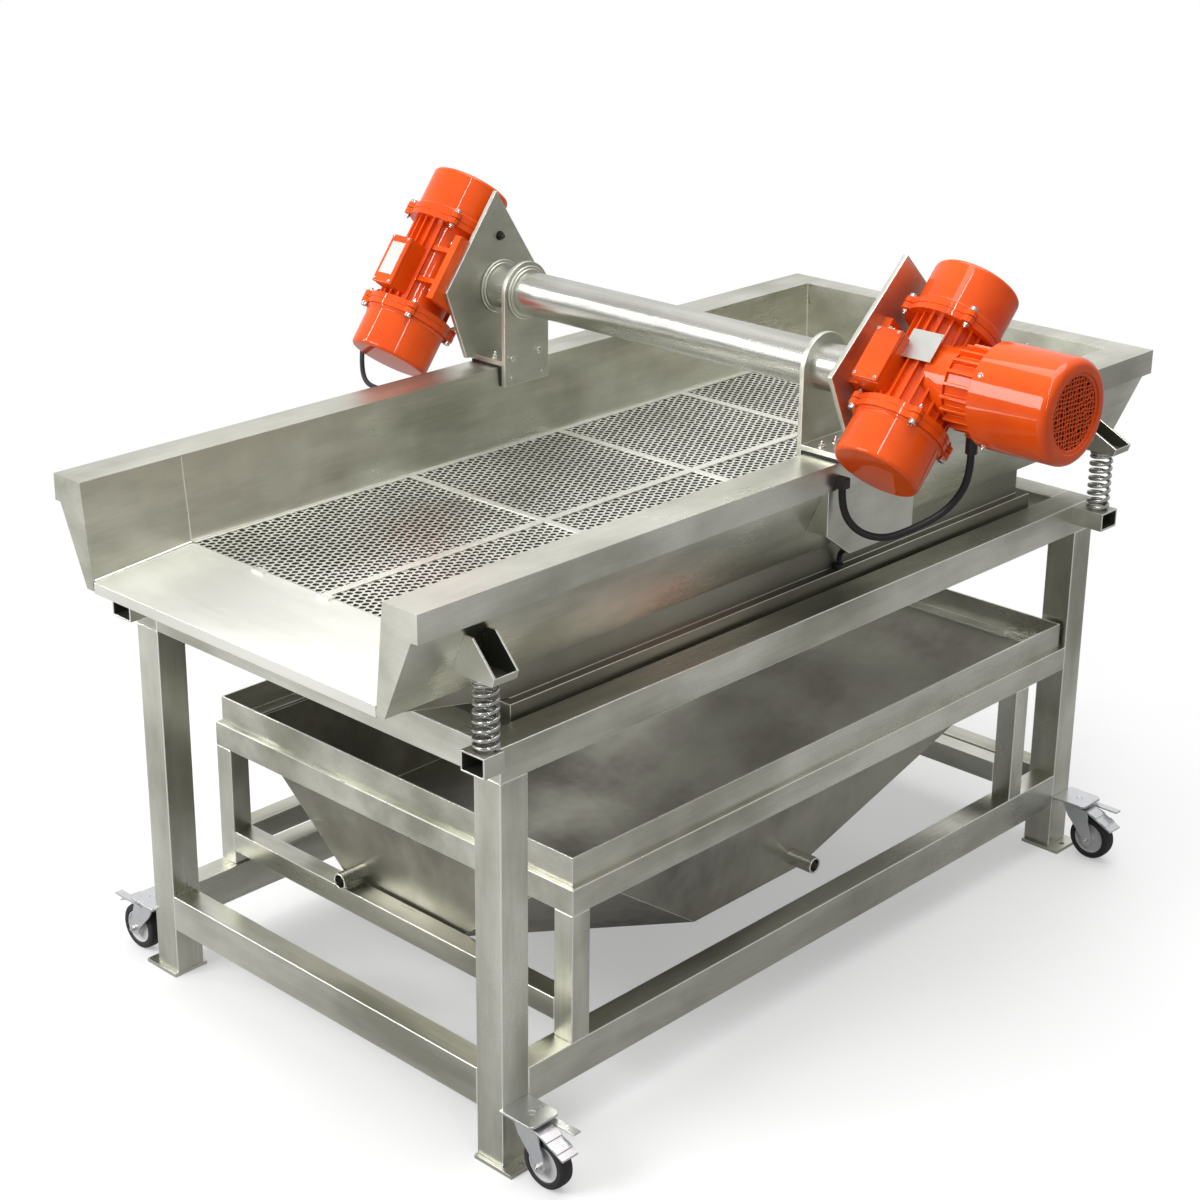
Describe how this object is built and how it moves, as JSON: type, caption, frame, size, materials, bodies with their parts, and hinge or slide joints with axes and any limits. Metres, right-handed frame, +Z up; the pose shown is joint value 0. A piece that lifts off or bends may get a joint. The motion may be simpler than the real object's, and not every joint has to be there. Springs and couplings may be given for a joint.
{
  "type": "vibrating dewatering machine",
  "caption": "Stainless trough with a perforated screen and two orange vibrating motors, on coil springs over a tube frame with a catch hopper.",
  "frame": {"origin": "centre of the four anchor holes of the foot plates, on the floor", "axes": "+X to the side with the finned drive, +Y to the closed feed end, -Y to the open discharge end, +Z up"},
  "size_m": [1.2637, 1.661, 1.1575],
  "materials": {
    "stainless": "brushed stainless sheet and tube",
    "zinc_plate": "bright zinc plate",
    "spring_steel": "bright plated spring wire",
    "orange_paint": "glossy orange enamel on cast housings",
    "black_rubber": "smooth black rubber",
    "black_plastic": "black moulded plastic",
    "wheel_tyre": "black tread on a grey hub"
  },
  "bodies": {
    "frame": {"legs": "stainless", "foot_plates": "stainless", "side_rails": "stainless", "cross_rails": "stainless", "spring_seats": "stainless", "hopper_shell": "stainless", "hopper_rim": "stainless", "hopper_ring": "stainless", "hopper_legs": "stainless", "hopper_cross_bars": "stainless", "hopper_side_bar": "stainless", "drain_spigots": "stainless", "caster_plates": "zinc_plate"},
    "swivel_front_right": {"caster_fork_front_right": "zinc_plate"},
    "wheel_front_right": {"caster_wheel_front_right": "wheel_tyre"},
    "swivel_front_left": {"caster_fork_front_left": "zinc_plate"},
    "wheel_front_left": {"caster_wheel_front_left": "wheel_tyre"},
    "swivel_rear_right": {"caster_fork_rear_right": "zinc_plate"},
    "wheel_rear_right": {"caster_wheel_rear_right": "wheel_tyre"},
    "swivel_rear_left": {"caster_fork_rear_left": "zinc_plate"},
    "wheel_rear_left": {"caster_wheel_rear_left": "wheel_tyre"},
    "trough": {"apron": "stainless", "arch_brackets": "stainless", "cable_glands": "black_plastic", "catch_box": "stainless", "cowl_grille": "orange_paint", "cross_tube": "stainless", "drive_body": "orange_paint", "drive_cable": "black_rubber", "fan_cowl": "orange_paint", "gussets": "stainless", "left_lead": "black_rubber", "motor_bodies": "orange_paint", "motor_caps": "orange_paint", "motor_plates": "stainless", "right_lead": "black_rubber", "rubber_pads": "black_rubber", "screen_bars": "stainless", "screen_deck": "stainless", "spring_brackets": "stainless", "springs": "spring_steel", "terminal_boxes": "orange_paint", "trough_end": "stainless", "trough_sides": "stainless", "tube_collars": "stainless"}
  },
  "joints": [
    {"name": "trough_bounce", "type": "slide", "parent": "frame", "child": "trough", "axis": [0, 0, 1], "range_m": [-0.006, 0.006], "stiffness_N_per_m": 90000, "springref_m": 0.01652, "deforming": ["springs"]},
    {"name": "swivel_front_right", "type": "hinge", "parent": "frame", "child": "swivel_front_right", "pos_m": [0.424, -0.665, 0.09], "axis": [0, 0, 1], "range_deg": [-75, 75]},
    {"name": "roll_front_right", "type": "hinge", "parent": "swivel_front_right", "child": "wheel_front_right", "pos_m": [0.454, -0.665, 0.0385], "axis": [0, 1, 0], "continuous": true},
    {"name": "swivel_front_left", "type": "hinge", "parent": "frame", "child": "swivel_front_left", "pos_m": [-0.424, -0.665, 0.09], "axis": [0, 0, 1], "range_deg": [-75, 75]},
    {"name": "roll_front_left", "type": "hinge", "parent": "swivel_front_left", "child": "wheel_front_left", "pos_m": [-0.454, -0.665, 0.0385], "axis": [0, 1, 0], "continuous": true},
    {"name": "swivel_rear_right", "type": "hinge", "parent": "frame", "child": "swivel_rear_right", "pos_m": [0.424, 0.665, 0.09], "axis": [0, 0, 1], "range_deg": [-75, 75]},
    {"name": "roll_rear_right", "type": "hinge", "parent": "swivel_rear_right", "child": "wheel_rear_right", "pos_m": [0.454, 0.665, 0.0385], "axis": [0, 1, 0], "continuous": true},
    {"name": "swivel_rear_left", "type": "hinge", "parent": "frame", "child": "swivel_rear_left", "pos_m": [-0.424, 0.665, 0.09], "axis": [0, 0, 1], "range_deg": [-75, 75]},
    {"name": "roll_rear_left", "type": "hinge", "parent": "swivel_rear_left", "child": "wheel_rear_left", "pos_m": [-0.454, 0.665, 0.0385], "axis": [0, 1, 0], "continuous": true}
  ]
}
